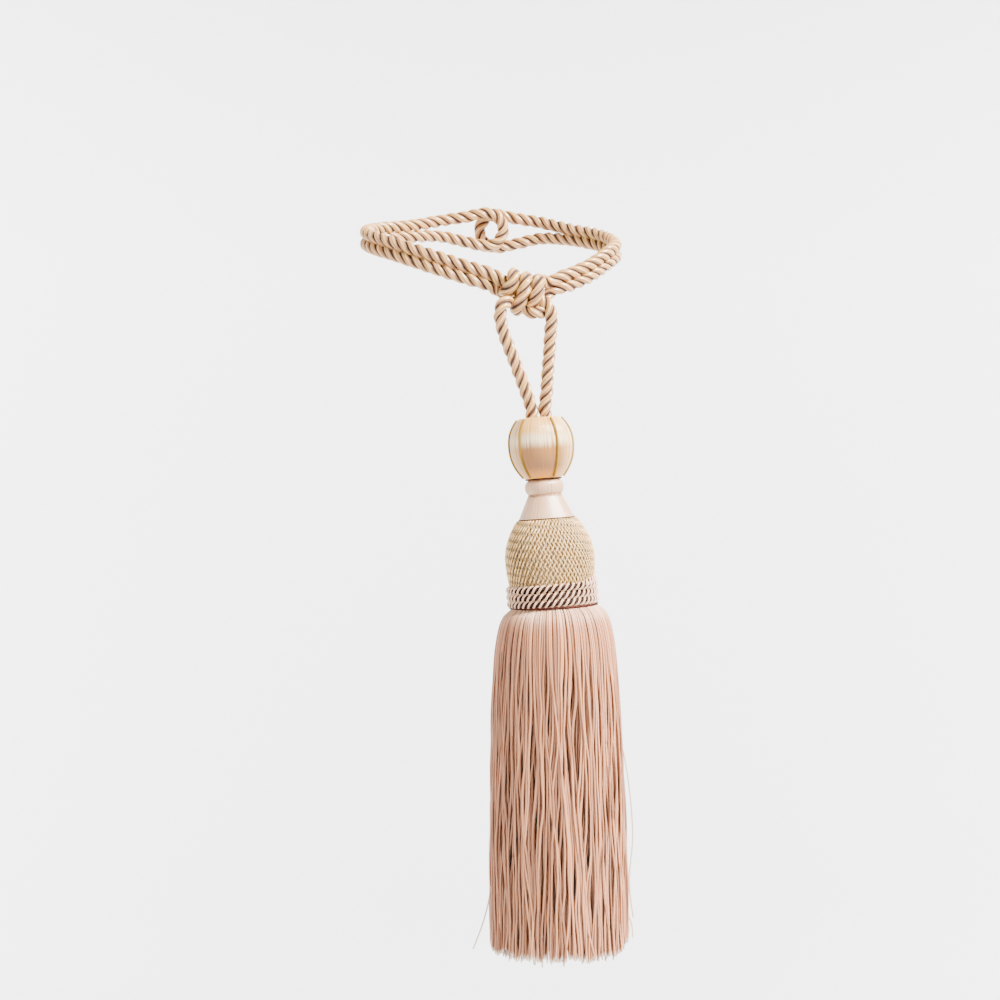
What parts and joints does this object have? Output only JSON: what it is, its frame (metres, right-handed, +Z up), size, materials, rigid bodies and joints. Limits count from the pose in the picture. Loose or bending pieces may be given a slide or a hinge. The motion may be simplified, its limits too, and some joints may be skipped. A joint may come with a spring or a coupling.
{
  "type": "curtain tieback tassel",
  "caption": "Twisted satin rope doubled into a tie with a wrapped knot, and a long yarn tassel on a satin, net and braid head.",
  "frame": {"origin": "centre of the wall hook's pin, which passes through both end eyes of the doubled rope; the hook is not part of the object", "axes": "+Z up along the hanging tassel, -Y towards the room, +X to the right seen from the room"},
  "size_m": [0.1383, 0.1429, 0.3871],
  "materials": {
    "rope": "glossy twisted satin cord",
    "satin": "wound satin thread with a broad sheen",
    "satin_pale": "pale wound satin thread",
    "gold": "metallised gold cord",
    "net": "fine knotted net over thread",
    "braid": "twisted cord braid",
    "yarn": "soft lustrous rayon yarn"
  },
  "bodies": {
    "root": {"rope": "rope", "satin_ball": "satin", "gold_cord_1": "gold", "gold_cord_2": "gold", "gold_cord_3": "gold", "gold_cord_4": "gold", "gold_cord_5": "gold", "gold_cord_6": "gold", "satin_collar": "satin_pale", "satin_neck": "satin_pale", "net_bulb": "net", "braid_band": "braid", "yarn_skirt": "yarn"}
  },
  "joints": []
}
